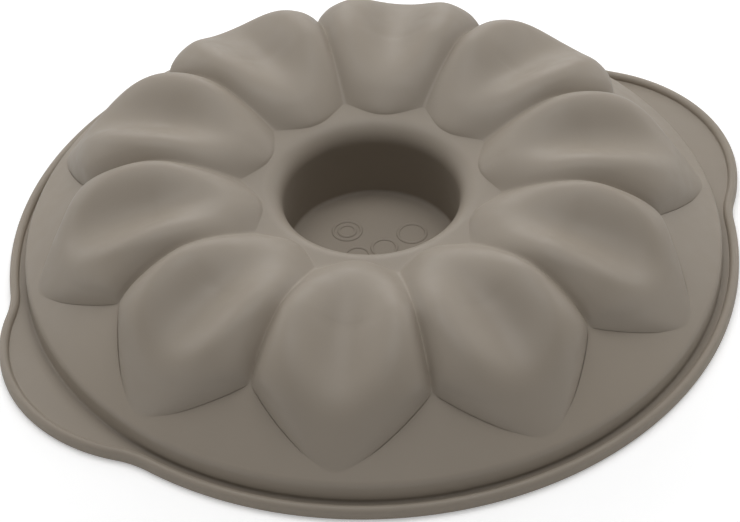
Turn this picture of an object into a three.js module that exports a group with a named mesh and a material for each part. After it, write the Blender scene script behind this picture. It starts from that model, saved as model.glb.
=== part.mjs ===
// Silicone ring mould for mousse: ten spoon-shaped petals round a closed well, standing dome up on its rim.
// Millimetres, +Z up. The origin lies on the table under the centre, and +X runs through one grip ear.
// The mould is a single casting. It is modelled zone by zone, divided along its own crease lines,
// and two neighbouring zones share the points of the crease between them.

import * as THREE from "three";
import { mergeVertices } from "three/addons/utils/BufferGeometryUtils.js";

// Silicone
const WALL = 2.5; // moulded wall
const CREASE_EXTRA = 0.9; // added to the wall under the crease between two petals
const SILICONE = { color: 0x968c7f, roughness: 0.55, metalness: 0 };

// Rim, from the outside inwards
const RIM_RADIUS = 130;
const BEAD_WIDTH = 3.4; // rounded bead along the edge
const BEAD_HEIGHT = 4.8;
const BEAD_FOOT_RADIUS = 1; // rounding of the bead's lower outer edge
const LAND_WIDTH = 2.6; // flat strip between bead and skirt
const LAND_LEVEL = 3; // top of the flange

// Grip ears, one on +X and one on -X
const EAR_REACH = 12.6; // beyond the round rim
const EAR_WIDTH = 103; // between the ends of the round rim on both sides of an ear
const EAR_FILLET = 35; // hollow curve from an ear into the round rim

// Skirt: a cone that rounds over into an upright wall on the flange
const SKIRT_SLOPE = 0.8; // rise over run
const SHOULDER_RADIUS = 3.5;
const SHOULDER_LEVEL = 8.7; // top of the upright wall
const CREASE_END_LEVEL = 28.8; // where the crease between two petals meets the skirt
const TIP_LEVEL = 13.3; // where the point of a petal meets the skirt

// Well in the middle
const WELL_RADIUS = 31.2; // just under the lip
const WELL_DRAFT = 0.6; // how much narrower the well is at its floor
const LIP_RADIUS = 7.6;
const FLOOR_LEVEL = 7.2; // top of the well's floor
const FLOOR_THICKNESS = 2.5;
const RING_LEVEL = 36.4; // flat ring round the well
const RING_BAND = 0.4; // width of the flat ring at the end of a petal

// Petals
const PETAL_COUNT = 10;
const PETAL_END_DEPTH = 6.8; // how far the rounded inner end of a petal stands towards the well
const CREST_RADIUS = 77.3; // middle line of a petal at its highest, before it is hollowed
const CREST_LEVEL = 50.4;
const CREASE_TOP_RADIUS = 74; // crease between two petals at its highest
const CREASE_TOP_LEVEL = 43.8;
const HOLLOW_DEPTH = 9; // spoon-shaped hollow pressed into the top of a petal

// Shape of a petal, as shares of its length, half width or of the stretch that a curve spans
const CREST_START = new THREE.Vector2(0.026, 0.225);
const CREST_INNER_FULLNESS = 0.232;
const CREST_OUTER_FULLNESS = 0.455;
const TIP_FULLNESS = new THREE.Vector2(0.33, 0.57);
const CREASE_START = new THREE.Vector2(0.177, 0.255);
const CREASE_INNER_FULLNESS = 0.426;
const CREASE_OUTER_FULLNESS = 0.44;
const CREASE_END_FULLNESS = new THREE.Vector2(0.1, 0.5);
const INNER_POWER = 1.6; // how sharply the flanks fall off: at the inner end
const MIDDLE_POWER = 2.63; // where they are steepest
const TIP_POWER = 1; // and at the point
const STEEPEST_AT = 0.637;
const FLANK_FULLNESS = 1.5; // 1 is a plain power curve, and more rounds the flanks over the creases
const FULLEST_AT = 0.75;
const END_HOLD = 2; // how late this form gives way at the outer end
const KEEL_ROUNDING = 0.155; // how far the middle of a petal is rounded
const HOLLOW_CENTRE = 0.561;
const HOLLOW_INNER_REACH = 0.39;
const HOLLOW_OUTER_REACH = 0.316;
const HOLLOW_WIDTH = 0.862;
const HOLLOW_TAPER = 0.6; // how much narrower the hollow is towards the point
const HOLLOW_TAPER_POWER = 1.5;
const HOLLOW_EDGE_POWER = 2.67;

// Facets
const PETAL_ROWS = 12;
const PETAL_COLUMNS = 10;
const LIP_STEPS = 3;
const BEAD_STEPS = 4;
const SHOULDER_STEPS = 3;
const EAR_COLUMNS = 6; // columns on each half of a grip ear
const COLUMN_CROWDING = 0.5; // 0 spreads a petal's columns evenly, 1 crowds them towards the creases

// Sizes that follow from those above
const PITCH = (2 * Math.PI) / PETAL_COUNT;
const COLUMNS = PETAL_COUNT * PETAL_COLUMNS;
const LAND_RADIUS = RIM_RADIUS - BEAD_WIDTH;
const SKIRT_BASE_RADIUS = LAND_RADIUS - LAND_WIDTH;
const SKIRT_NORMAL = new THREE.Vector2(SKIRT_SLOPE, 1).normalize();
const LIP_CENTRE_LEVEL = RING_LEVEL - LIP_RADIUS;
const LIP_CENTRE_RADIUS = WELL_RADIUS + LIP_RADIUS;
const PETAL_INNER_RADIUS = LIP_CENTRE_RADIUS + RING_BAND;
const CREASE_INNER_RADIUS = PETAL_INNER_RADIUS + PETAL_END_DEPTH;

// A point of the shoulder, as radius and level: 0 turns it upright, and the skirt's own angle meets the cone
function shoulderPoint(turn, radius) {
  const centre = new THREE.Vector2(SKIRT_BASE_RADIUS - SHOULDER_RADIUS, SHOULDER_LEVEL);
  return new THREE.Vector2(Math.cos(turn), Math.sin(turn)).multiplyScalar(radius).add(centre);
}

// A point of the cone's outer face, as radius and level
function skirtPoint(level) {
  const top = shoulderPoint(SKIRT_NORMAL.angle(), SHOULDER_RADIUS);
  return new THREE.Vector2(top.x - (level - top.y) / SKIRT_SLOPE, level);
}

// Position share of a petal column across the petal, from -1 at one crease to 1 at the other
function across(column) {
  const even = (2 * column) / PETAL_COLUMNS - 1;
  const crowded = Math.sin((even * Math.PI) / 2);
  return THREE.MathUtils.lerp(even, crowded, COLUMN_CROWDING);
}

// Azimuth of any column of the mould: every zone has its points on these
function azimuth(column) {
  const wrapped = column % COLUMNS;
  const petal = Math.floor(wrapped / PETAL_COLUMNS);
  return (petal + (across(wrapped % PETAL_COLUMNS) + 1) / 2) * PITCH;
}

function polar(radius, angle, level) {
  return new THREE.Vector3(radius * Math.cos(angle), radius * Math.sin(angle), level);
}

// Two curves that meet level at a top: the side view of a petal's middle line or of a crease
function guide(start, top, end, startShare, innerFullness, outerFullness, endShare) {
  const rise = top.clone().sub(start);
  const fall = end.clone().sub(top);
  const inner = new THREE.CubicBezierCurve(
    start,
    start.clone().add(rise.clone().multiply(startShare)),
    new THREE.Vector2(top.x - innerFullness * rise.x, top.y),
    top,
  );
  const outer = new THREE.CubicBezierCurve(
    top,
    new THREE.Vector2(top.x + outerFullness * fall.x, top.y),
    end.clone().sub(fall.clone().multiply(endShare)),
    end,
  );
  return (along) => (along < 0.5 ? inner.getPoint(2 * along) : outer.getPoint(2 * along - 1));
}

const crest = guide(
  new THREE.Vector2(PETAL_INNER_RADIUS, RING_LEVEL),
  new THREE.Vector2(CREST_RADIUS, CREST_LEVEL),
  skirtPoint(TIP_LEVEL),
  CREST_START,
  CREST_INNER_FULLNESS,
  CREST_OUTER_FULLNESS,
  TIP_FULLNESS,
);

const crease = guide(
  new THREE.Vector2(CREASE_INNER_RADIUS, RING_LEVEL),
  new THREE.Vector2(CREASE_TOP_RADIUS, CREASE_TOP_LEVEL),
  skirtPoint(CREASE_END_LEVEL),
  CREASE_START,
  CREASE_INNER_FULLNESS,
  CREASE_OUTER_FULLNESS,
  CREASE_END_FULLNESS,
);

// Share that rises to 1 at a peak along a petal and then falls late, close to the petal's outer end
function nearness(along, peak) {
  if (along < peak) {
    return THREE.MathUtils.smoothstep(along / peak, 0, 1);
  }
  return 1 - (1 - (1 - along) / (1 - peak)) ** END_HOLD;
}

// How far a petal has fallen from its middle line to the creases: round at first and then steep
function flank(along, side) {
  const endPower = along < STEEPEST_AT ? INNER_POWER : TIP_POWER;
  const power = THREE.MathUtils.lerp(endPower, MIDDLE_POWER, nearness(along, STEEPEST_AT));
  const fullness = THREE.MathUtils.lerp(1, FLANK_FULLNESS, nearness(along, FULLEST_AT));
  const keel = Math.hypot(1, KEEL_ROUNDING) - KEEL_ROUNDING;
  const aside = (Math.hypot(side, KEEL_ROUNDING) - KEEL_ROUNDING) / keel;
  return 1 - Math.max(0, 1 - aside ** power) ** (1 / fullness);
}

// The tear-shaped hollow that leaves two rounded ridges along a petal
function hollow(along, side) {
  const inner = along < HOLLOW_CENTRE;
  const reach = inner ? HOLLOW_INNER_REACH : HOLLOW_OUTER_REACH;
  const away = Math.min(1, Math.abs(along - HOLLOW_CENTRE) / reach);
  const taper = inner ? 0 : HOLLOW_TAPER * away ** HOLLOW_TAPER_POWER;
  const aside = Math.min(1, Math.abs(side) / (HOLLOW_WIDTH * (1 - taper)));
  return HOLLOW_DEPTH * (1 - away ** 2) ** 2 * (1 - aside ** 2) ** HOLLOW_EDGE_POWER;
}

// Outer face of a petal: lofted from the middle line to the creases, then hollowed
function petalProfile(along, side) {
  const point = crest(along).lerp(crease(along), flank(along, side));
  point.y -= hollow(along, side);
  return point;
}

function petalPoint(along, side, petal) {
  const profile = petalProfile(along, side);
  return polar(profile.x, (petal + (side + 1) / 2) * PITCH, profile.y);
}

// The way through the wall at a point of a petal. On its borders it is the same for the zone next door.
function throughWall(along, side, petal) {
  const angle = (petal + (side + 1) / 2) * PITCH;
  if (along === 0) {
    return new THREE.Vector3(0, 0, -WALL);
  }
  if (along === 1) {
    return polar(-WALL * SKIRT_NORMAL.x, angle, -WALL * SKIRT_NORMAL.y);
  }
  const step = 1e-4;
  if (Math.abs(side) === 1) {
    const run = crease(along + step).sub(crease(along - step)).normalize();
    const wall = WALL + CREASE_EXTRA * Math.sin(Math.PI * along);
    return polar(wall * run.y, angle, -wall * run.x);
  }
  const outwards = petalPoint(along + step, side, petal).sub(petalPoint(along - step, side, petal));
  const sideways = petalPoint(along, side + step, petal).sub(petalPoint(along, side - step, petal));
  return outwards.cross(sideways).setLength(-WALL);
}

// Triangles of a grid of points, rows by columns
function gridFaces(grid, wrapRows, wrapColumns) {
  const faces = [];
  const rowCount = grid.length - (wrapRows ? 0 : 1);
  const columnCount = grid[0].length - (wrapColumns ? 0 : 1);
  for (let row = 0; row < rowCount; row += 1) {
    const here = grid[row];
    const next = grid[(row + 1) % grid.length];
    for (let column = 0; column < columnCount; column += 1) {
      const beside = (column + 1) % here.length;
      faces.push([here[column], next[column], next[beside]]);
      faces.push([here[column], next[beside], here[beside]]);
    }
  }
  return faces;
}

function turned(faces) {
  return faces.map(([a, b, c]) => [a, c, b]);
}

// Mesh of a closed solid from its triangles
function solid(name, faces) {
  const corners = faces.filter(([a, b, c]) => !a.equals(b) && !b.equals(c) && !c.equals(a)).flat();
  const geometry = mergeVertices(new THREE.BufferGeometry().setFromPoints(corners));
  geometry.computeVertexNormals();
  const mesh = new THREE.Mesh(geometry, new THREE.MeshStandardMaterial(SILICONE));
  mesh.name = name;
  return mesh;
}

// Wall between two grids of the same size, closed along every open border
function shell(name, front, back, wrapColumns) {
  const last = front.length - 1;
  const faces = [
    ...gridFaces(front, false, wrapColumns),
    ...turned(gridFaces(back, false, wrapColumns)),
    ...turned(gridFaces([front[0], back[0]], false, wrapColumns)),
    ...gridFaces([front[last], back[last]], false, wrapColumns),
  ];
  if (!wrapColumns) {
    const end = front[0].length - 1;
    const edge = (grid, column) => grid.map((row) => row[column]);
    faces.push(...gridFaces([edge(front, 0), edge(back, 0)], false, false));
    faces.push(...turned(gridFaces([edge(front, end), edge(back, end)], false, false)));
  }
  return solid(name, faces);
}

// One row of points all round at a radius and level
function circleRow(radius, level) {
  return Array.from({ length: COLUMNS }, (_, column) => polar(radius, azimuth(column), level));
}

// A row of points along the inner or outer end of all petals, and the row behind it
function petalEndRows(along) {
  const front = [];
  const back = [];
  for (let column = 0; column < COLUMNS; column += 1) {
    const petal = Math.floor(column / PETAL_COLUMNS);
    const side = across(column % PETAL_COLUMNS);
    const point = petalPoint(along, side, petal);
    front.push(point);
    back.push(point.clone().add(throughWall(along, side, petal)));
  }
  return { front, back };
}

// Petal: a thin lofted wall over its own cavity
function makePetal(petal) {
  const front = [];
  const back = [];
  for (let row = 0; row <= PETAL_ROWS; row += 1) {
    const along = row / PETAL_ROWS;
    const sides = Array.from({ length: PETAL_COLUMNS + 1 }, (_, column) => across(column));
    const points = sides.map((side) => petalPoint(along, side, petal));
    front.push(points);
    back.push(points.map((point, i) => point.clone().add(throughWall(along, sides[i], petal))));
  }
  return shell(`petal_${String(petal + 1).padStart(2, "0")}`, front, back, false);
}

// Top ring: the rounded lip of the well and the flat band that reaches between the petals' ends
function makeTopRing() {
  const front = [];
  const back = [];
  for (let step = 0; step <= LIP_STEPS; step += 1) {
    const turn = (step / LIP_STEPS) * (Math.PI / 2);
    const reach = new THREE.Vector2(-Math.cos(turn), Math.sin(turn));
    const inside = LIP_RADIUS - WALL;
    front.push(circleRow(LIP_CENTRE_RADIUS + LIP_RADIUS * reach.x, LIP_CENTRE_LEVEL + LIP_RADIUS * reach.y));
    back.push(circleRow(LIP_CENTRE_RADIUS + inside * reach.x, LIP_CENTRE_LEVEL + inside * reach.y));
  }
  const ends = petalEndRows(0);
  return shell("top_ring", [...front, ends.front], [...back, ends.back], true);
}

// Well wall: tapers a little towards the floor, and holds the floor at its lower end
function makeWellWall() {
  const foot = WELL_RADIUS - WELL_DRAFT;
  const under = FLOOR_LEVEL - FLOOR_THICKNESS;
  const rowsBehind = (wall) => [
    circleRow(foot + wall, under),
    circleRow(foot + wall, FLOOR_LEVEL),
    circleRow(WELL_RADIUS + wall, LIP_CENTRE_LEVEL),
  ];
  return shell("well_wall", rowsBehind(0), rowsBehind(WALL), true);
}

// Well floor: a flat disc that closes the well
function makeWellFloor() {
  const under = FLOOR_LEVEL - FLOOR_THICKNESS;
  const edge = circleRow(WELL_RADIUS - WELL_DRAFT, 0);
  const outline = new THREE.Shape(edge.map((point) => new THREE.Vector2(point.x, point.y)));
  const disc = new THREE.ExtrudeGeometry(outline, { depth: FLOOR_THICKNESS, bevelEnabled: false });
  const mesh = new THREE.Mesh(disc, new THREE.MeshStandardMaterial(SILICONE));
  mesh.name = "well_floor";
  mesh.position.z = under;
  return mesh;
}

// Skirt: a cone whose upper edge follows the petals, the shoulder and the upright wall under it
function makeSkirt() {
  const top = petalEndRows(1);
  const front = [top.front];
  const back = [top.back];
  for (let step = SHOULDER_STEPS; step >= 0; step -= 1) {
    const turn = (step / SHOULDER_STEPS) * SKIRT_NORMAL.angle();
    const outside = shoulderPoint(turn, SHOULDER_RADIUS);
    const inside = shoulderPoint(turn, SHOULDER_RADIUS - WALL);
    front.push(circleRow(outside.x, outside.y));
    back.push(circleRow(inside.x, inside.y));
  }
  front.push(circleRow(SKIRT_BASE_RADIUS, LAND_LEVEL));
  back.push(circleRow(SKIRT_BASE_RADIUS - WALL, LAND_LEVEL));
  return shell("skirt", front, back, true);
}

// A row of points along the flange's round edge, where the bead and the ears begin
function landRow(level) {
  return Array.from({ length: COLUMNS }, (_, column) => polar(LAND_RADIUS, rimAzimuth(column), level));
}

// Flange: the flat foot of the skirt, which carries the bead and the ears
function makeFlange() {
  const rowsAt = (level) => [
    circleRow(SKIRT_BASE_RADIUS - WALL, level),
    circleRow(SKIRT_BASE_RADIUS, level),
    landRow(level),
  ];
  return shell("flange", rowsAt(LAND_LEVEL), rowsAt(0), true);
}

// Outer edge of the rim at an azimuth: the point and the way out of it, both in plan
const EAR_HALF_ANGLE = Math.asin(EAR_WIDTH / 2 / RIM_RADIUS);
const FILLET_SPAN = RIM_RADIUS + EAR_FILLET;
const FILLET_RAY = new THREE.Vector2(Math.cos(EAR_HALF_ANGLE), Math.sin(EAR_HALF_ANGLE));
const FILLET_CENTRE = FILLET_RAY.multiplyScalar(FILLET_SPAN);
const EAR_SPAN = RIM_RADIUS + EAR_REACH + EAR_FILLET;
const EAR_CENTRE = (EAR_SPAN ** 2 - FILLET_SPAN ** 2) / (2 * (EAR_SPAN - FILLET_CENTRE.x));
const EAR_RADIUS = RIM_RADIUS + EAR_REACH - EAR_CENTRE; // touches the fillets on both sides
const EAR_END_TOLERANCE = 1e-6; // an ear's end counts as the round rim
const EAR_ARC_HALF_ANGLE = FILLET_CENTRE.clone()
  .sub(new THREE.Vector2(EAR_CENTRE, 0))
  .setLength(EAR_RADIUS)
  .add(new THREE.Vector2(EAR_CENTRE, 0))
  .angle();

// Distance along a ray from the origin to the far (1) or near (-1) side of a circle
function rayToCircle(direction, centre, radius, farSide) {
  const middle = direction.dot(centre);
  return middle + farSide * Math.sqrt(middle ** 2 - centre.lengthSq() + radius ** 2);
}

function rimEdge(angle) {
  const half = Math.abs(((angle + Math.PI / 2) % Math.PI) - Math.PI / 2);
  const ray = new THREE.Vector2(Math.cos(half), Math.sin(half));
  const ear = new THREE.Vector2(EAR_CENTRE, 0);
  let point = ray.clone().multiplyScalar(RIM_RADIUS);
  let normal = ray.clone();
  if (half < EAR_ARC_HALF_ANGLE) {
    point = ray.clone().multiplyScalar(rayToCircle(ray, ear, EAR_RADIUS, 1));
    normal = point.clone().sub(ear).normalize();
  } else if (half < EAR_HALF_ANGLE) {
    point = ray.clone().multiplyScalar(rayToCircle(ray, FILLET_CENTRE, EAR_FILLET, -1));
    normal = FILLET_CENTRE.clone().sub(point).normalize();
  }
  const signX = Math.sign(Math.cos(angle)) || 1;
  const signY = Math.sign(Math.sin(angle)) || 1;
  const place = new THREE.Vector2(signX, signY);
  return { onEar: half < EAR_HALF_ANGLE - EAR_END_TOLERANCE, point: point.multiply(place), normal: normal.multiply(place) };
}

// Azimuth of a column along the rim: the columns draw together or spread so that one ends each ear
function rimAzimuth(column) {
  const angle = azimuth(column);
  const earMiddle = Math.round(angle / Math.PI) * Math.PI;
  const away = angle - earMiddle;
  const earEnd = azimuth(EAR_COLUMNS);
  const moved =
    Math.abs(away) < earEnd
      ? (Math.abs(away) * EAR_HALF_ANGLE) / earEnd
      : THREE.MathUtils.mapLinear(Math.abs(away), earEnd, Math.PI / 2, EAR_HALF_ANGLE, Math.PI / 2);
  return earMiddle + Math.sign(away) * moved;
}

// A point beside the rim's edge, set back from it and at a level
function besideEdge(column, setBack, level) {
  const angle = rimAzimuth(column);
  const edge = rimEdge(angle);
  if (!edge.onEar) {
    return polar(RIM_RADIUS - setBack, angle, level);
  }
  const plan = edge.point.addScaledVector(edge.normal, -setBack);
  return new THREE.Vector3(plan.x, plan.y, level);
}

// Edge bead: a rounded section carried along the rim and round both ears
function makeEdgeBead() {
  const round = BEAD_WIDTH / 2;
  const section = [new THREE.Vector2(BEAD_WIDTH, 0)];
  for (let step = 0; step <= 2; step += 1) {
    const turn = (step / 2) * (Math.PI / 2);
    section.push(new THREE.Vector2(1 - Math.sin(turn), 1 - Math.cos(turn)).multiplyScalar(BEAD_FOOT_RADIUS));
  }
  for (let step = 0; step <= BEAD_STEPS; step += 1) {
    const turn = (step / BEAD_STEPS) * Math.PI;
    const level = BEAD_HEIGHT - round + round * Math.sin(turn);
    section.push(new THREE.Vector2(round - round * Math.cos(turn), level));
  }
  const rows = section.map((corner) =>
    Array.from({ length: COLUMNS }, (_, column) => besideEdge(column, corner.x, corner.y)),
  );
  return solid("edge_bead", turned(gridFaces(rows, true, true)));
}

// Grip ear: the flat lobe between the round flange and the bead, on the side of a crease's azimuth
function makeGripEar(name, middleColumn) {
  const first = middleColumn - EAR_COLUMNS + COLUMNS;
  const columns = Array.from({ length: 2 * EAR_COLUMNS + 1 }, (_, i) => (first + i) % COLUMNS);
  const rowsAt = (level) => [
    columns.map((column) => polar(LAND_RADIUS, rimAzimuth(column), level)),
    columns.map((column) => besideEdge(column, BEAD_WIDTH, level)),
  ];
  return shell(name, rowsAt(LAND_LEVEL), rowsAt(0), false);
}

const mould = new THREE.Group();
for (let petal = 0; petal < PETAL_COUNT; petal += 1) {
  mould.add(makePetal(petal));
}
mould.add(makeTopRing(), makeWellWall(), makeWellFloor());
mould.add(makeSkirt(), makeFlange(), makeEdgeBead());
mould.add(makeGripEar("grip_ear_right", 0), makeGripEar("grip_ear_left", COLUMNS / 2));

export default mould;
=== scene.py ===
"""Looks of a silicone ring mould for mousse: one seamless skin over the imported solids, camera and light."""

import math

import bpy
import numpy as np
from mathutils import Matrix, Vector


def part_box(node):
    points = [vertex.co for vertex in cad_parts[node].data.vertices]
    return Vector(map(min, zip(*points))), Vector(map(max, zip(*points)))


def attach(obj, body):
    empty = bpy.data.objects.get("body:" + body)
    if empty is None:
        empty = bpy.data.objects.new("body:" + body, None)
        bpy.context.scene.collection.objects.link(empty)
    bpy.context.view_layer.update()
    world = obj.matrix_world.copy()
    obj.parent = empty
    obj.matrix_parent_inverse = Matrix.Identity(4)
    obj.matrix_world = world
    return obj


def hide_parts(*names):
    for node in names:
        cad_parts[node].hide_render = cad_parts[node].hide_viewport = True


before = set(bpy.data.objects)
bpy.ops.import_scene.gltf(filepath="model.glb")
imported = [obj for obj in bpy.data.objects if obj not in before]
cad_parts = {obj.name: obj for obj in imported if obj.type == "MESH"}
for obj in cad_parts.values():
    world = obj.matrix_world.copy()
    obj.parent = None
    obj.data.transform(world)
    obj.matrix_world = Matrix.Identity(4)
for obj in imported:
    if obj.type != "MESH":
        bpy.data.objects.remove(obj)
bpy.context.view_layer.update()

MM = 0.001


def node_box(node):
    """Lowest and highest corner of a solid, in millimetres."""
    low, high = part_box(node)
    return np.array(low) / MM, np.array(high) / MM


# Sizes that come from the solids, in millimetres
bead_high = node_box("edge_bead")[1]
flange_high = node_box("flange")[1]
ring_high = node_box("top_ring")[1]
well_floor_low, well_floor_high = node_box("well_floor")
RIM_RADIUS = bead_high[1]
EAR_REACH = bead_high[0] - RIM_RADIUS
BEAD_HEIGHT = bead_high[2]
LAND_RADIUS = flange_high[0]
BEAD_WIDTH = RIM_RADIUS - LAND_RADIUS
LAND_LEVEL = flange_high[2]
RING_LEVEL = ring_high[2]
CREASE_INNER_RADIUS = ring_high[0]
FLOOR_RADIUS = well_floor_high[0]
FLOOR_LEVEL = well_floor_high[2]
UNDER_FLOOR_LEVEL = well_floor_low[2]

# Wall, well and rim, in millimetres
WALL = 2.5
WELL_RADIUS = 31.2
LIP_RADIUS = 7.6
FLOOR_FILLET = 1.2
RING_BAND = 0.4
BEAD_FOOT_RADIUS = 1.0
EAR_WIDTH = 103.0
EAR_FILLET = 35.0

# Skirt: a cone that rounds over into an upright wall on the rim
LAND_WIDTH = 2.6
FOOT_FILLET = 0.7
SKIRT_SLOPE = 0.8
SHOULDER_RADIUS = 3.5
SHOULDER_LEVEL = 8.7
CREASE_END_LEVEL = 28.8
TIP_LEVEL = 13.3

# Petals
PETAL_COUNT = 10
CREST_RADIUS = 77.3
CREST_LEVEL = 50.4
CREASE_TOP_RADIUS = 74.0
CREASE_TOP_LEVEL = 43.8
HOLLOW_DEPTH = 10.2
CREASE_WIDTH = 1.2
CORNER_WIDTH = 1.2
CORNER_BULGE = 1.8
CORNER_SOFTNESS = 3.5

# Shape of a petal, as shares of its length, half width or of the stretch that a curve spans
CREST_START = (0.026, 0.225)
CREST_INNER_FULLNESS = 0.232
CREST_OUTER_FULLNESS = 0.57
TIP_FULLNESS = (0.24, 0.45)
CREASE_START = (0.177, 0.255)
CREASE_INNER_FULLNESS = 0.426
CREASE_OUTER_FULLNESS = 0.26
CREASE_END_FULLNESS = (0.22, 0.57)
INNER_POWER = 1.6
MIDDLE_POWER = 2.5
TIP_POWER = 1.0
STEEPEST_AT = 0.637
FLANK_FULLNESS = 1.4
FULLEST_AT = 0.7
END_HOLD = 1.5
KEEL_ROUNDING = 0.155
CORNER_FULLNESS = 0.9
CORNER_FROM = 0.64
CORNER_AT = 0.92
CORNER_WIDTH_POWER = 6
HOLLOW_CENTRE = 0.561
HOLLOW_INNER_REACH = 0.39
HOLLOW_OUTER_REACH = 0.316
HOLLOW_WIDTH = 0.862
HOLLOW_TAPER = 0.6
HOLLOW_TAPER_POWER = 1.5
HOLLOW_EDGE_POWER = 2.67

# Swelling beside a petal's outer corners, and how softly the petal is held back at the skirt
BULGE_FROM = 0.6
BULGE_LENGTHWISE_POWER = 2
BULGE_ASIDE_POWER = 3
BULGE_OUTWARDS = 0.5
BULGE_UPWARDS = 0.85
SOFT_END = 0.12
SOFT_ASIDE_POWER = 6

# Fineness of the skin
PETAL_COLUMNS = 64
PETAL_ROWS = 96
ROW_CROWDING = 0.7
COLUMN_CROWDING = 0.7
FLOOR_ROWS = (0.02, 0.2, 0.4, 0.6, 0.8, 0.92)  # shares of the floor's radius
UNDER_FLOOR_ROWS = (0.9, 0.5, 0.02)
LAND_ROWS = (0.06, 0.2, 0.5, 0.8, 0.94, 1)  # shares of the way from the skirt to the bead
FLOOR_FILLET_STEPS = 5
WELL_STEPS = 8
LIP_STEPS = 14
BAND_STEPS = 5
SKIRT_STEPS = 12
SHOULDER_STEPS = 8
UPRIGHT_STEPS = 5
FOOT_STEPS = 4
BEAD_STEPS = 12

# Rounding of the skin: where it is smoothed, and by which share
BAND_SOFTNESS = 0.6
CREASE_SOFT_FROM = 0.84
CREASE_SOFT_SPAN = 0.06
INNER_SOFT_SPAN = 0.02
OUTER_SOFT_SPAN = 0.06
SKIRT_SOFT_ROWS = ((0.25, 1), (0.55, 1), (0.9, 0.8), (1.3, 0.4))  # millimetres below the petals, and share
SKIRT_SOFT_END = 1.5
OUTSIDE_ROUNDS = 10
INSIDE_ROUNDS = 24
ROUND_STEP = 0.5
NORMAL_REACH = 4
TINY = 1e-9

# Edges of the cavity side, in millimetres
UNDER_BEAD_STEP = 0.5
MOUTH_EDGE = ((0.8, 0), (0.25, 0.2), (0, 0.8))  # beyond the mouth, and level
WELL_EDGE = ((0, 1), (0.3, 0.3), (1, 0))  # set back, and above the underside
BEHIND_LIP_DROP = 1
LEVEL_TOLERANCE = 0.01

# Plain low rings on the floor of the well: how far right and away the camera sees each, and its radius
RINGS = ((-9.1, 9.8, 5.0), (-9.1, 9.8, 3.0), (3.9, 0.0, 4.4), (-5.8, -3.7, 4.4), (14.0, 7.0, 5.0))
RING_HALF_WIDTH = 0.6
RING_HEIGHT = 0.35
RING_STEPS = 64
RING_SECTION = 10

# Silicone
SHADE_DARK = (0.285, 0.245, 0.199, 1)
SHADE_LIGHT = (0.301, 0.258, 0.208, 1)
SILICONE_IOR = 1.42
ROUGHNESS = (0.47, 0.57)
MOTTLING_SCALE = 24
MOTTLING_DETAIL = 3
GLOSS_SCALE = 150
GRAIN_SCALE = 1200
FINE_DETAIL = 2
NOISE_LOW = 0.3
NOISE_HIGH = 0.7
GRAIN_STRENGTH = 0.12
GRAIN_HEIGHT = 0.0001  # metres

# Floor, in metres: it looks white to the camera, a little near the mould and fully further away
FLOOR_HALF = 6.0
FLOOR_DROP = 0.0002
FLOOR_SHADE = (0.85, 0.85, 0.85, 1)
FLOOR_ROUGHNESS = 0.9
NEAR_GLOW = 0.35
GLOW_FROM = 0.16
GLOW_FULL = 0.9
WHITE = (1, 1, 1, 1)

# Camera, in degrees and metres
CAMERA_AZIMUTH = -118.07
CAMERA_ELEVATION = 42.0
CAMERA_ROLL = -2.536
CAMERA_DISTANCE = 1.81337
AIM = Vector((-0.0010, 0.00117, 0.00062))
LENS = 246.98
CLIP_START = 0.1
CLIP_END = 50

# Soft boxes, in metres and degrees
LARGE_BOX = (1.0, 0.8)
SQUARE_BOX = (0.8, 0.8)
SMALL_BOX = (0.4, 0.4)
STRIP = (1.4, 0.24)
FAR = 1.6
STRIP_DISTANCE = 1.5
CLOSE = 0.65
LOW = 7
RAISED = 20
HIGH = 48
FILL_HEIGHT = 60
STEEP = 72

# Sizes that follow
COLUMNS = PETAL_COUNT * PETAL_COLUMNS
PITCH = 2 * math.pi / PETAL_COUNT
SKIRT_BASE_RADIUS = LAND_RADIUS - LAND_WIDTH
SHOULDER_TURN = math.atan2(1, SKIRT_SLOPE)
SHOULDER_TOP_RADIUS = SKIRT_BASE_RADIUS - SHOULDER_RADIUS * (1 - math.cos(SHOULDER_TURN))
SHOULDER_TOP_LEVEL = SHOULDER_LEVEL + SHOULDER_RADIUS * math.sin(SHOULDER_TURN)
LIP_CENTRE_RADIUS = WELL_RADIUS + LIP_RADIUS
LIP_CENTRE_LEVEL = RING_LEVEL - LIP_RADIUS
PETAL_INNER_RADIUS = LIP_CENTRE_RADIUS + RING_BAND
VIEW_AZIMUTH = math.radians(CAMERA_AZIMUTH + 180)


def skirt_point(level):
    """Radius and level of a point on the straight part of the skirt."""
    return np.array([SHOULDER_TOP_RADIUS - (level - SHOULDER_TOP_LEVEL) / SKIRT_SLOPE, level])


# Columns run round the mould: each petal has the same number, crowded towards the creases
even_share = 2 * np.arange(PETAL_COLUMNS) / PETAL_COLUMNS - 1
crowded_share = np.sin(even_share * math.pi / 2)
petal_sides = even_share + COLUMN_CROWDING * (crowded_share - even_share)
side = np.tile(petal_sides, PETAL_COUNT)
azimuth = (np.repeat(np.arange(PETAL_COUNT), PETAL_COLUMNS) + (side + 1) / 2) * PITCH


def bezier(points, share):
    """Point of a cubic curve in radius and level."""
    a, b, c, d = points
    rest = 1 - share
    return rest**3 * a + 3 * rest**2 * share * b + 3 * rest * share**2 * c + share**3 * d


def guide(start, top, end, start_share, inner_fullness, outer_fullness, end_share):
    """Side view of a petal's middle line or of a crease: two curves that meet level at the top."""
    rise = top - start
    fall = end - top
    level = np.array([1.0, 0.0])
    inner = (start, start + rise * start_share, top - level * inner_fullness * rise[0], top)
    outer = (top, top + level * outer_fullness * fall[0], end - fall * end_share, end)

    def at(along):
        return bezier(inner, 2 * along) if along < 0.5 else bezier(outer, 2 * along - 1)

    return at


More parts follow.
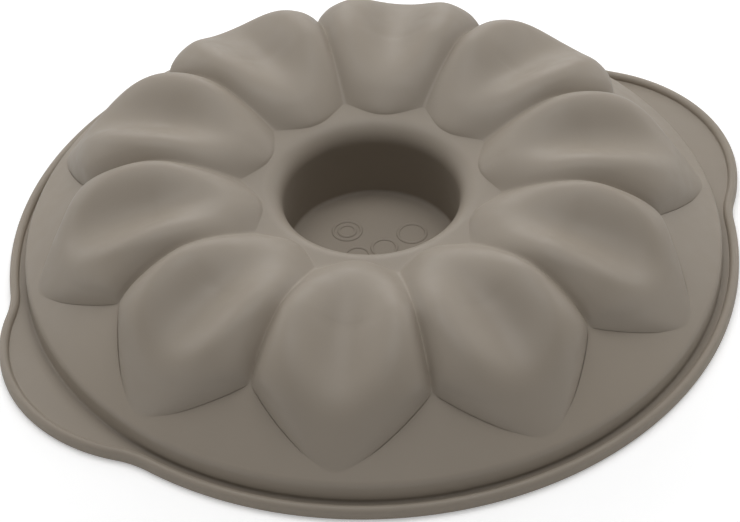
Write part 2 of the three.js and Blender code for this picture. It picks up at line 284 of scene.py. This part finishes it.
crest = guide(
    np.array([PETAL_INNER_RADIUS, RING_LEVEL]),
    np.array([CREST_RADIUS, CREST_LEVEL]),
    skirt_point(TIP_LEVEL),
    np.array(CREST_START),
    CREST_INNER_FULLNESS,
    CREST_OUTER_FULLNESS,
    np.array(TIP_FULLNESS),
)
crease = guide(
    np.array([CREASE_INNER_RADIUS, RING_LEVEL]),
    np.array([CREASE_TOP_RADIUS, CREASE_TOP_LEVEL]),
    skirt_point(CREASE_END_LEVEL),
    np.array(CREASE_START),
    CREASE_INNER_FULLNESS,
    CREASE_OUTER_FULLNESS,
    np.array(CREASE_END_FULLNESS),
)


def smooth(share):
    """Share that leaves 0 and reaches 1 without a kink."""
    return share * share * (3 - 2 * share)


def nearness(along, peak):
    """Share that rises to 1 at a peak along a petal and then falls late, close to the petal's outer end."""
    if along < peak:
        return smooth(along / peak)
    return 1 - (1 - (1 - along) / (1 - peak)) ** END_HOLD


def corner_nearness(along):
    """Share that rises to 1 close to a petal's outer corners and falls to 0 at its end."""
    rising = min(1, max(0, (along - CORNER_FROM) / (CORNER_AT - CORNER_FROM)))
    falling = min(1, max(0, (1 - along) / (1 - CORNER_AT)))
    return smooth(rising) * math.sqrt(falling)


def flank(along, reach):
    """How far a petal has fallen from its middle line to the creases, per column: round and then steep."""
    end_power = INNER_POWER if along < STEEPEST_AT else TIP_POWER
    power = end_power + (MIDDLE_POWER - end_power) * nearness(along, STEEPEST_AT)
    fullness = 1 + (FLANK_FULLNESS - 1) * nearness(along, FULLEST_AT)
    fullness += CORNER_FULLNESS * corner_nearness(along)
    keel = math.sqrt(1 + KEEL_ROUNDING**2) - KEEL_ROUNDING
    aside = (np.sqrt(side**2 + KEEL_ROUNDING**2) - KEEL_ROUNDING) / keel
    aside = np.minimum(1, aside / reach)
    return 1 - (1 - aside**power) ** (1 / fullness)


def hollow(along):
    """Depth of the tear-shaped hollow, per column."""
    inner = along < HOLLOW_CENTRE
    reach = HOLLOW_INNER_REACH if inner else HOLLOW_OUTER_REACH
    away = min(1.0, abs(along - HOLLOW_CENTRE) / reach)
    taper = 0 if inner else HOLLOW_TAPER * away**HOLLOW_TAPER_POWER
    aside = np.minimum(1, np.abs(side) / (HOLLOW_WIDTH * (1 - taper)))
    return HOLLOW_DEPTH * (1 - away**2) ** 2 * (1 - aside**2) ** HOLLOW_EDGE_POWER


def around(radius, level):
    """A row of points round the mould."""
    return np.stack([radius * np.cos(azimuth), radius * np.sin(azimuth), level + 0 * azimuth], 1)


def petal_profile(along):
    """Radius and level per column of a row across all petals, before the corners swell."""
    middle = crest(along)
    valley = crease(along)
    width = CREASE_WIDTH * (1 - along) + CORNER_WIDTH * along**CORNER_WIDTH_POWER
    fall = flank(along, 1 - width / (valley[0] * PITCH))
    radius = middle[0] + (valley[0] - middle[0]) * fall
    level = middle[1] + (valley[1] - middle[1]) * fall - hollow(along)
    return radius, level


edge_radius, _ = petal_profile(1)


def swell(share, power):
    """Share that rises from 0 to 1, the later the higher the power, and falls back to 0 at the end."""
    peak = power**power / (power + 1) ** (power + 1)
    return share**power * (1 - share) / peak


def corner_bulge(along):
    """Height of the swelling beside a petal's outer corners, per column."""
    lengthwise = max(0, (along - BULGE_FROM) / (1 - BULGE_FROM))
    across = swell(np.abs(side), BULGE_ASIDE_POWER)
    return CORNER_BULGE * swell(lengthwise, BULGE_LENGTHWISE_POWER) * across


def petal_row(along):
    """A row of points across all petals, softly held back where it would stand out past the petals' ends."""
    radius, level = petal_profile(along)
    radius = radius + BULGE_OUTWARDS * corner_bulge(along)
    level = level + BULGE_UPWARDS * corner_bulge(along)
    softness = CORNER_SOFTNESS * min(1, (1 - along) / SOFT_END) * (1 - side**SOFT_ASIDE_POWER)
    over = radius - edge_radius
    kept = radius - (over + np.sqrt(over**2 + softness**2)) / 2
    return around(kept, level)


# Outline of the rim in plan: a circle, two round ears and the hollow curves between them
EAR_HALF_ANGLE = math.asin(EAR_WIDTH / 2 / RIM_RADIUS)
FILLET_SPAN = RIM_RADIUS + EAR_FILLET
EAR_SPAN = RIM_RADIUS + EAR_REACH + EAR_FILLET
fillet_centre = FILLET_SPAN * np.array([math.cos(EAR_HALF_ANGLE), math.sin(EAR_HALF_ANGLE)])
EAR_CENTRE = (EAR_SPAN**2 - FILLET_SPAN**2) / (2 * (EAR_SPAN - fillet_centre[0]))
EAR_RADIUS = RIM_RADIUS + EAR_REACH - EAR_CENTRE
ear_centre = np.array([EAR_CENTRE, 0])
to_fillet = fillet_centre - ear_centre
ear_end = ear_centre + EAR_RADIUS * to_fillet / np.linalg.norm(to_fillet)
EAR_ARC_HALF_ANGLE = math.atan2(ear_end[1], ear_end[0])


def ray_to_circle(ray, centre, radius, far_side):
    """Distance along rays from the origin to the far (1) or near (-1) side of a circle."""
    middle = ray @ centre
    return middle + far_side * np.sqrt(np.maximum(0, middle**2 - centre @ centre + radius**2))


folded = np.abs((azimuth + math.pi / 2) % math.pi - math.pi / 2)
ray = np.stack([np.cos(folded), np.sin(folded)], 1)
on_arc = (folded < EAR_ARC_HALF_ANGLE)[:, None]
on_fillet = (folded < EAR_HALF_ANGLE)[:, None] & ~on_arc
arc_edge = ray * ray_to_circle(ray, ear_centre, EAR_RADIUS, 1)[:, None]
fillet_edge = ray * ray_to_circle(ray, fillet_centre, EAR_FILLET, -1)[:, None]
edge = np.where(on_arc, arc_edge, np.where(on_fillet, fillet_edge, ray * RIM_RADIUS))
edge_normal = np.where(on_arc, edge - ear_centre, np.where(on_fillet, fillet_centre - edge, ray))
edge_normal = edge_normal / np.linalg.norm(edge_normal, axis=1)[:, None]
quadrant = np.stack([np.where(np.cos(azimuth) < 0, -1, 1), np.where(np.sin(azimuth) < 0, -1, 1)], 1)
edge = edge * quadrant
edge_normal = edge_normal * quadrant


def beside_edge(set_back, level):
    """A row along the rim, set back from its edge."""
    plan = edge - set_back * edge_normal
    return np.concatenate([plan, np.full((COLUMNS, 1), level)], 1)


def between(first, last, steps):
    """Rows from one row to another, both ends left out."""
    return [first + (last - first) * step / steps for step in range(1, steps)]


def soft(rows, softness):
    """Rows with the share by which each is smoothed."""
    return [(row, np.broadcast_to(softness, (COLUMNS,)).astype(float)) for row in rows]


def quarter(steps):
    """Angles of a quarter turn, both ends included."""
    return [step / steps * math.pi / 2 for step in range(steps + 1)]


# Outer face, from the middle of the well's floor to the foot of the bead: first the well and its lip
outer = []
floor_edge = FLOOR_RADIUS - FLOOR_FILLET
outer += soft([around(floor_edge * share, FLOOR_LEVEL) for share in FLOOR_ROWS], 0)
for turn in quarter(FLOOR_FILLET_STEPS):
    level = FLOOR_LEVEL + FLOOR_FILLET * (1 - math.cos(turn))
    outer += soft([around(floor_edge + FLOOR_FILLET * math.sin(turn), level)], 0)
wall_foot = around(FLOOR_RADIUS, FLOOR_LEVEL + FLOOR_FILLET)
wall_top = around(WELL_RADIUS, LIP_CENTRE_LEVEL)
outer += soft(between(wall_foot, wall_top, WELL_STEPS), 0)
for turn in quarter(LIP_STEPS):
    level = LIP_CENTRE_LEVEL + LIP_RADIUS * math.sin(turn)
    outer += soft([around(LIP_CENTRE_RADIUS - LIP_RADIUS * math.cos(turn), level)], 0)

# The flat band and the petals
lip_top = around(LIP_CENTRE_RADIUS, RING_LEVEL)
outer += soft(between(lip_top, petal_row(0), BAND_STEPS), BAND_SOFTNESS)
near_crease = np.clip((np.abs(side) - CREASE_SOFT_FROM) / CREASE_SOFT_SPAN, 0, 1)
for step in range(PETAL_ROWS + 1):
    even = step / PETAL_ROWS
    share = even - ROW_CROWDING * math.sin(2 * math.pi * even) / (2 * math.pi)
    near_end = max(0, 1 - share / INNER_SOFT_SPAN, 1 - (1 - share) / OUTER_SOFT_SPAN)
    outer += soft([petal_row(share)], np.maximum(near_crease, near_end))

# The skirt: rounded under the petals, then a cone, the shoulder and the upright wall
skirt_top = petal_row(1)
shoulder_top = around(SHOULDER_TOP_RADIUS, SHOULDER_TOP_LEVEL)
down_skirt = shoulder_top - skirt_top
down_skirt = down_skirt / np.linalg.norm(down_skirt, axis=1)[:, None]
for distance, weight in SKIRT_SOFT_ROWS:
    outer += soft([skirt_top + down_skirt * distance], weight)
cone_top = skirt_top + down_skirt * SKIRT_SOFT_END
outer += soft(between(cone_top, shoulder_top, SKIRT_STEPS)[1:], 0)
for step in range(SHOULDER_STEPS + 1):
    turn = SHOULDER_TURN * (1 - step / SHOULDER_STEPS)
    radius = SKIRT_BASE_RADIUS - SHOULDER_RADIUS * (1 - math.cos(turn))
    outer += soft([around(radius, SHOULDER_LEVEL + SHOULDER_RADIUS * math.sin(turn))], 0)
foot_top = LAND_LEVEL + FOOT_FILLET
upright_top = around(SKIRT_BASE_RADIUS, SHOULDER_LEVEL)
upright_foot = around(SKIRT_BASE_RADIUS, foot_top)
outer += soft(between(upright_top, upright_foot, UPRIGHT_STEPS), 0)
skirt_last = len(outer)

# The flange and the bead
for turn in quarter(FOOT_STEPS):
    radius = SKIRT_BASE_RADIUS + FOOT_FILLET * (1 - math.cos(turn))
    outer += soft([around(radius, foot_top - FOOT_FILLET * math.sin(turn))], 0)
land_start = around(SKIRT_BASE_RADIUS + FOOT_FILLET, LAND_LEVEL)
land_end = beside_edge(BEAD_WIDTH, LAND_LEVEL)
outer += soft([land_start + (land_end - land_start) * share for share in LAND_ROWS], 0)
bead_round = BEAD_WIDTH / 2
for step in range(BEAD_STEPS + 1):
    turn = math.pi * step / BEAD_STEPS
    set_back = bead_round + bead_round * math.cos(turn)
    outer += soft([beside_edge(set_back, BEAD_HEIGHT - bead_round + bead_round * math.sin(turn))], 0)
for turn in quarter(FOOT_STEPS):
    set_back = BEAD_FOOT_RADIUS * (1 - math.cos(turn))
    outer += soft([beside_edge(set_back, BEAD_FOOT_RADIUS * (1 - math.sin(turn)))], 0)


def relax(points, weights, rounds):
    """Rounds off corners: each point moves towards its neighbours, which count by their nearness."""
    for _ in range(rounds):
        total = np.zeros_like(points)
        weight_sum = np.zeros(points.shape[:2])
        for axis, shift in ((0, 1), (0, -1), (1, 1), (1, -1)):
            neighbour = np.roll(points, shift, axis)
            if axis == 0:
                border = 0 if shift == 1 else -1
                neighbour[border] = points[border]
            length = np.linalg.norm(neighbour - points, axis=2)
            share = np.where(length > TINY, 1 / np.maximum(length, TINY), 0)
            total += neighbour * share[:, :, None]
            weight_sum += share
        target = total / np.maximum(weight_sum, TINY)[:, :, None]
        points = points + ROUND_STEP * weights[:, :, None] * (target - points)
    return points


def unit_normals(points):
    """Ways out of the outer face, taken over several rows so that close rows don't unsettle them."""
    row = np.arange(len(points))
    ahead = np.minimum(row + NORMAL_REACH, len(points) - 1)
    behind = np.maximum(row - NORMAL_REACH, 0)
    along = points[ahead] - points[behind]
    across = np.roll(points, -1, 1) - np.roll(points, 1, 1)
    normal = np.cross(along, across)
    return normal / np.maximum(np.linalg.norm(normal, axis=2), TINY)[:, :, None]


def grid_faces(first, row_count, column_count, rows_close):
    """Faces over rows of points that close on themselves; the last row may join the first one too."""
    faces = []
    for row in range(row_count if rows_close else row_count - 1):
        here = first + row * column_count
        there = first + (row + 1) % row_count * column_count
        for column in range(column_count):
            beside = (column + 1) % column_count
            faces.append((here + column, there + column, there + beside, here + beside))
    return faces


softness = np.stack([weight for _, weight in outer])
grid = relax(np.stack([row for row, _ in outer]), softness, OUTSIDE_ROUNDS)

# Cavity side: from the foot of the bead under the flange and back along the inside of the wall
lip_first = next(i for i, (row, _) in enumerate(outer) if row[0, 2] > LIP_CENTRE_LEVEL - LEVEL_TOLERANCE)
inside = (grid - WALL * unit_normals(grid))[lip_first : skirt_last + 1]
inside = relax(inside, np.ones(inside.shape[:2]), INSIDE_ROUNDS)
inside[:, :, 2] = np.maximum(inside[:, :, 2], LAND_LEVEL)
mouth = SKIRT_BASE_RADIUS - WALL
under = [beside_edge(BEAD_WIDTH, 0), around(LAND_RADIUS - UNDER_BEAD_STEP, 0)]
under += [around(mouth + beyond, level) for beyond, level in MOUTH_EDGE]
well_back = FLOOR_RADIUS + WALL
back_wall = [around(WELL_RADIUS + WALL, LIP_CENTRE_LEVEL - BEHIND_LIP_DROP)]
back_wall += [around(well_back - set_back, UNDER_FLOOR_LEVEL + above) for set_back, above in WELL_EDGE]
back_wall += [around(FLOOR_RADIUS * share, UNDER_FLOOR_LEVEL) for share in UNDER_FLOOR_ROWS]
rows = [*grid, *under, *inside[::-1][::2], *back_wall]
points = np.concatenate(rows)
faces = grid_faces(0, len(rows), COLUMNS, False)
faces.append(tuple(range(COLUMNS)))
faces.append(tuple(reversed(range(len(points) - COLUMNS, len(points)))))


def ring_points(right, away, radius):
    """Points of a closed ring half sunk into the floor of the well."""
    ring_turn, section_turn = np.meshgrid(
        np.arange(RING_STEPS) * 2 * math.pi / RING_STEPS,
        np.arange(RING_SECTION) * 2 * math.pi / RING_SECTION,
        indexing="ij",
    )
    reach = radius + RING_HALF_WIDTH * np.cos(section_turn)
    middle_x = right * math.sin(VIEW_AZIMUTH) + away * math.cos(VIEW_AZIMUTH)
    middle_y = away * math.sin(VIEW_AZIMUTH) - right * math.cos(VIEW_AZIMUTH)
    x = middle_x + reach * np.cos(ring_turn)
    y = middle_y + reach * np.sin(ring_turn)
    z = FLOOR_LEVEL + RING_HEIGHT * np.sin(section_turn)
    return np.stack([x, y, z], -1).reshape(-1, 3)


for right, away, radius in RINGS:
    faces += grid_faces(len(points), RING_STEPS, RING_SECTION, True)
    points = np.concatenate([points, ring_points(right, away, radius)])

skin_mesh = bpy.data.meshes.new("silicone_skin")
skin_mesh.from_pydata([tuple(p) for p in points * MM], [], faces)
skin_mesh.update()
for polygon in skin_mesh.polygons:
    polygon.use_smooth = True
skin = bpy.data.objects.new("silicone_skin", skin_mesh)
bpy.context.scene.collection.objects.link(skin)
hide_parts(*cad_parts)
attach(skin, "root")


def silicone_material():
    """Satin silicone with faint mottling, uneven gloss and a very fine grain."""
    material = bpy.data.materials.new("silicone")
    material.use_nodes = True
    nodes = material.node_tree.nodes
    links = material.node_tree.links
    shader = nodes["Principled BSDF"]
    shader.inputs["IOR"].default_value = SILICONE_IOR
    place = nodes.new("ShaderNodeTexCoord")

    def noise(scale, detail):
        texture = nodes.new("ShaderNodeTexNoise")
        texture.inputs["Scale"].default_value = scale
        texture.inputs["Detail"].default_value = detail
        links.new(place.outputs["Object"], texture.inputs["Vector"])
        return texture.outputs["Fac"]

    def ranged(value, low, high):
        limits = nodes.new("ShaderNodeMapRange")
        limits.inputs["From Min"].default_value = NOISE_LOW
        limits.inputs["From Max"].default_value = NOISE_HIGH
        limits.inputs["To Min"].default_value = low
        limits.inputs["To Max"].default_value = high
        links.new(value, limits.inputs["Value"])
        return limits.outputs["Result"]

    tint = nodes.new("ShaderNodeMix")
    tint.data_type = "RGBA"
    for socket in tint.inputs:
        if socket.type == "RGBA" and socket.name == "A":
            socket.default_value = SHADE_DARK
        if socket.type == "RGBA" and socket.name == "B":
            socket.default_value = SHADE_LIGHT
    links.new(ranged(noise(MOTTLING_SCALE, MOTTLING_DETAIL), 0, 1), tint.inputs["Factor"])
    colour = next(socket for socket in tint.outputs if socket.type == "RGBA")
    links.new(colour, shader.inputs["Base Color"])
    links.new(ranged(noise(GLOSS_SCALE, FINE_DETAIL), *ROUGHNESS), shader.inputs["Roughness"])
    grain = nodes.new("ShaderNodeBump")
    grain.inputs["Strength"].default_value = GRAIN_STRENGTH
    grain.inputs["Distance"].default_value = GRAIN_HEIGHT
    links.new(noise(GRAIN_SCALE, FINE_DETAIL), grain.inputs["Height"])
    links.new(grain.outputs["Normal"], shader.inputs["Normal"])
    return material


def floor_material():
    """Pale floor that glows to the camera alone, faintly near the mould so that the shadow stays."""
    material = bpy.data.materials.new("floor")
    material.use_nodes = True
    nodes = material.node_tree.nodes
    links = material.node_tree.links
    shader = nodes["Principled BSDF"]
    shader.inputs["Base Color"].default_value = FLOOR_SHADE
    shader.inputs["Roughness"].default_value = FLOOR_ROUGHNESS
    shader.inputs["Specular IOR Level"].default_value = 0
    shader.inputs["Emission Color"].default_value = WHITE
    place = nodes.new("ShaderNodeTexCoord")
    distance = nodes.new("ShaderNodeVectorMath")
    distance.operation = "LENGTH"
    links.new(place.outputs["Object"], distance.inputs[0])
    glow = nodes.new("ShaderNodeMapRange")
    glow.inputs["From Min"].default_value = GLOW_FROM
    glow.inputs["From Max"].default_value = GLOW_FULL
    glow.inputs["To Min"].default_value = NEAR_GLOW
    glow.inputs["To Max"].default_value = 1
    links.new(distance.outputs["Value"], glow.inputs["Value"])
    rays = nodes.new("ShaderNodeLightPath")
    seen = nodes.new("ShaderNodeMath")
    seen.operation = "MULTIPLY"
    links.new(rays.outputs["Is Camera Ray"], seen.inputs[0])
    links.new(glow.outputs["Result"], seen.inputs[1])
    links.new(seen.outputs["Value"], shader.inputs["Emission Strength"])
    return material


skin_mesh.materials.append(silicone_material())

# Floor
floor_corners = [(x * FLOOR_HALF, y * FLOOR_HALF, 0) for x, y in ((-1, -1), (1, -1), (1, 1), (-1, 1))]
floor_mesh = bpy.data.meshes.new("floor")
floor_mesh.from_pydata(floor_corners, [], [(0, 1, 2, 3)])
floor_mesh.materials.append(floor_material())
floor = bpy.data.objects.new("floor", floor_mesh)
floor.location.z = -FLOOR_DROP
bpy.context.scene.collection.objects.link(floor)

# World: white to the camera, and no light from it on the mould
world = bpy.data.worlds.new("studio")
bpy.context.scene.world = world
world.use_nodes = True
world_rays = world.node_tree.nodes.new("ShaderNodeLightPath")
background = world.node_tree.nodes["Background"]
background.inputs["Color"].default_value = WHITE
world.node_tree.links.new(world_rays.outputs["Is Camera Ray"], background.inputs["Strength"])


def direction(azimuth_turn, elevation_turn):
    """Unit vector from the mould towards an azimuth and an elevation."""
    return Vector(
        (
            math.cos(azimuth_turn) * math.cos(elevation_turn),
            math.sin(azimuth_turn) * math.cos(elevation_turn),
            math.sin(elevation_turn),
        )
    )


def soft_box(name, turn, elevation, distance, size, power):
    """An area lamp aimed at the mould; the turn is counted from the direction in which the camera looks."""
    lamp = bpy.data.lights.new(name, "AREA")
    lamp.shape = "RECTANGLE"
    lamp.size, lamp.size_y = size
    lamp.energy = power
    holder = bpy.data.objects.new(name, lamp)
    holder.location = distance * direction(VIEW_AZIMUTH + math.radians(turn), math.radians(elevation))
    holder.rotation_mode = "QUATERNION"
    holder.rotation_quaternion = (-holder.location).to_track_quat("-Z", "Y")
    bpy.context.scene.collection.objects.link(holder)


soft_box("back_middle", 0, RAISED, FAR, LARGE_BOX, 6.4)
soft_box("back_left", 50, RAISED, FAR, LARGE_BOX, 5.4)
soft_box("back_right", 310, RAISED, FAR, LARGE_BOX, 5.4)
soft_box("high_back", 0, HIGH, FAR, LARGE_BOX, 1.6)
soft_box("high_left", 60, HIGH, FAR, LARGE_BOX, 0.7)
soft_box("high_right", 300, HIGH, FAR, LARGE_BOX, 0.8)
soft_box("top_back", 0, STEEP, FAR, SQUARE_BOX, 2.8)
soft_box("top_left", 60, STEEP, FAR, SQUARE_BOX, 5.0)
soft_box("top_right", 300, STEEP, FAR, SQUARE_BOX, 5.6)
soft_box("front_fill", 180, FILL_HEIGHT, CLOSE, SMALL_BOX, 0.44)
soft_box("low_front", 180, LOW, STRIP_DISTANCE, STRIP, 2.3)
soft_box("low_left", 110, LOW, STRIP_DISTANCE, STRIP, 3.7)
soft_box("low_right", 250, LOW, STRIP_DISTANCE, STRIP, 3.2)

# Camera
back = direction(math.radians(CAMERA_AZIMUTH), math.radians(CAMERA_ELEVATION))
camera_data = bpy.data.cameras.new("camera")
camera_data.lens = LENS
camera_data.clip_start = CLIP_START
camera_data.clip_end = CLIP_END
camera = bpy.data.objects.new("camera", camera_data)
look = (-back).to_track_quat("-Z", "Y").to_matrix()
roll = Matrix.Rotation(math.radians(CAMERA_ROLL), 3, "Z")
camera.rotation_mode = "QUATERNION"
camera.rotation_quaternion = (look @ roll).to_quaternion()
camera.location = AIM + back * CAMERA_DISTANCE
bpy.context.scene.collection.objects.link(camera)
bpy.context.scene.camera = camera
bpy.context.scene.view_settings.view_transform = "Standard"
